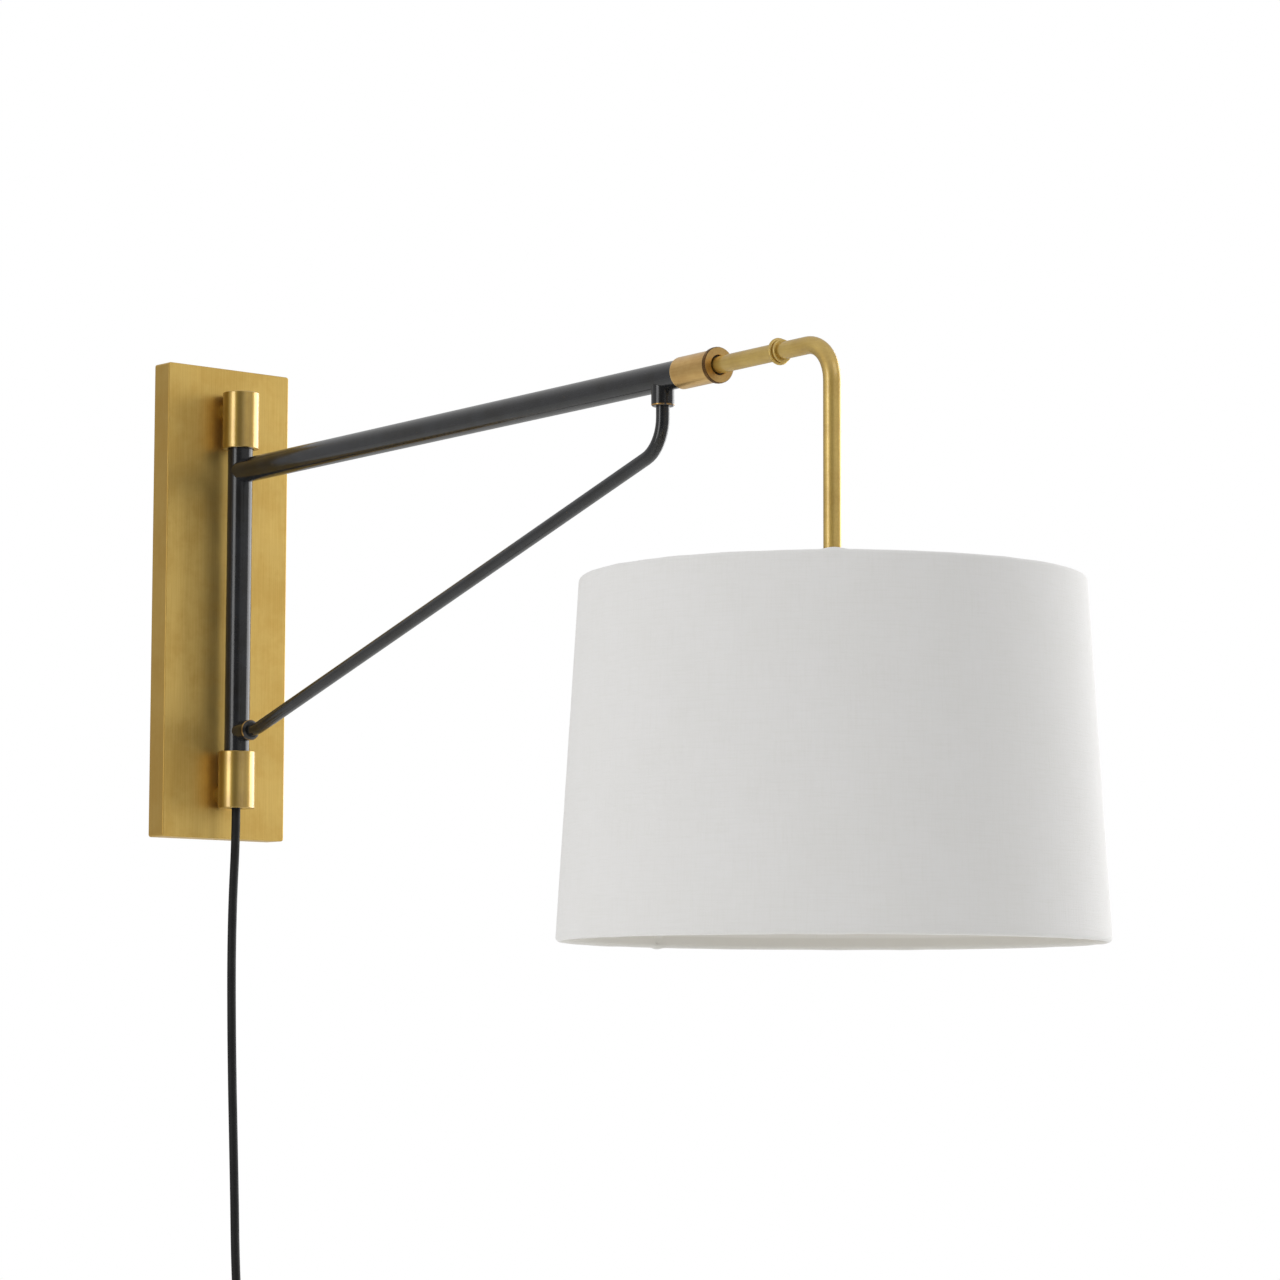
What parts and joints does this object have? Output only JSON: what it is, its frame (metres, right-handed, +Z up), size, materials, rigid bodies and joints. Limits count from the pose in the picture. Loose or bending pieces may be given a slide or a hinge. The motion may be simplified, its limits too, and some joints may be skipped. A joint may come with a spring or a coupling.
{
  "type": "swing arm wall sconce",
  "caption": "Plug-in swing arm wall light: tall brass backplate, dark swinging frame with a strut, telescoping brass rod with a lock ring, and a tapered linen drum shade.",
  "frame": {"origin": "middle of the backplate's back, on the wall's face", "axes": "+Z up, +Y into the wall, so the lamp stands out along -Y and +X runs to the right along the wall seen from the room"},
  "size_m": [0.3361, 0.9163, 0.8868],
  "materials": {
    "plate_brass": "antique burnished brass with vertical brushing",
    "barrel_brass": "turned and polished antique brass",
    "sleeve_brass": "turned antique brass, darker in the knurl",
    "rod_brass": "satin unlacquered brass",
    "dark_bronze": "dark gunmetal, semi-gloss, worn to brass on its edges",
    "steel": "zinc plated",
    "black_nylon": "moulded",
    "cord_black": "satin PVC sheath",
    "tie_black": "woven hook and loop tape",
    "plug_black": "moulded",
    "contact_brass": "stamped",
    "holder_brass": "spun brass",
    "phenolic": "moulded phenolic",
    "bulb_metal": "stamped",
    "bulb_plastic": "moulded",
    "bulb_glass": "frosted white",
    "linen": "off-white woven linen",
    "linen_hem": "off-white linen, rolled over the wire",
    "shade_lining": "cream translucent sheet bonded to the linen",
    "white_wire": "white powder coat"
  },
  "bodies": {
    "wall": {"wall_bracket": "steel", "backplate": "plate_brass", "plate_set_screws": "steel", "top_post": "barrel_brass", "bottom_post": "barrel_brass", "top_barrel": "barrel_brass", "bottom_barrel": "barrel_brass", "top_pivot_bush": "black_nylon", "bottom_pivot_bush": "black_nylon", "top_thrust_washer": "black_nylon", "bottom_thrust_washer": "black_nylon", "post_screw_washers": "steel", "post_screws": "steel", "cord_grommet": "cord_black", "lower_lead": "cord_black", "cord_lead": "cord_black", "cord_coil": "cord_black", "cord_tie": "tie_black", "cord_tail": "cord_black", "plug_body": "plug_black", "plug_blades": "contact_brass"},
    "swing_frame": {"pivot_tube": "dark_bronze", "arm_tube": "dark_bronze", "strut_foot": "dark_bronze", "strut_boss": "dark_bronze", "strut": "dark_bronze", "clamp_sleeve": "sleeve_brass", "guide_bush": "black_nylon", "upper_lead": "cord_black"},
    "lock_ring": {"lock_ring": "sleeve_brass"},
    "lamp": {"drop_rod": "rod_brass", "rod_piston": "black_nylon", "stop_collar": "rod_brass", "collar_set_screw": "steel", "rod_lead": "cord_black", "holder_cap": "holder_brass", "cap_set_screw": "steel", "holder_shell": "holder_brass", "holder_insulator": "phenolic", "screw_shell": "contact_brass", "centre_contact": "contact_brass", "shade_nut": "phenolic", "bulb_base": "bulb_metal", "bulb_collar": "bulb_plastic", "bulb_globe": "bulb_glass", "shade_linen": "linen", "shade_liner": "shade_lining", "top_hem": "linen_hem", "bottom_hem": "linen_hem", "top_wire_ring": "white_wire", "spider_hub": "white_wire", "spider_legs": "white_wire", "bottom_wire_ring": "white_wire"},
    "switch_knob": {"switch_knob": "phenolic"}
  },
  "joints": [
    {"name": "arm_swing", "type": "hinge", "parent": "wall", "child": "swing_frame", "pos_m": [0, -0.034, 0], "axis": [0, 0, 1], "range_deg": [-72, 82]},
    {"name": "lock_ring_turn", "type": "hinge", "parent": "swing_frame", "child": "lock_ring", "pos_m": [0, -0.034, 0.0982], "axis": [-0.0872, -0.9962, 0], "range_deg": [0, 180]},
    {"name": "rod_slide", "type": "slide", "parent": "swing_frame", "child": "lamp", "axis": [-0.0872, -0.9962, 0], "range_m": [-0.0605, 0.1495]},
    {"name": "switch_turn", "type": "hinge", "parent": "lamp", "child": "switch_knob", "pos_m": [-0.06249, -0.74827, -0.085], "axis": [-0.9962, 0.0872, 0], "continuous": true}
  ]
}
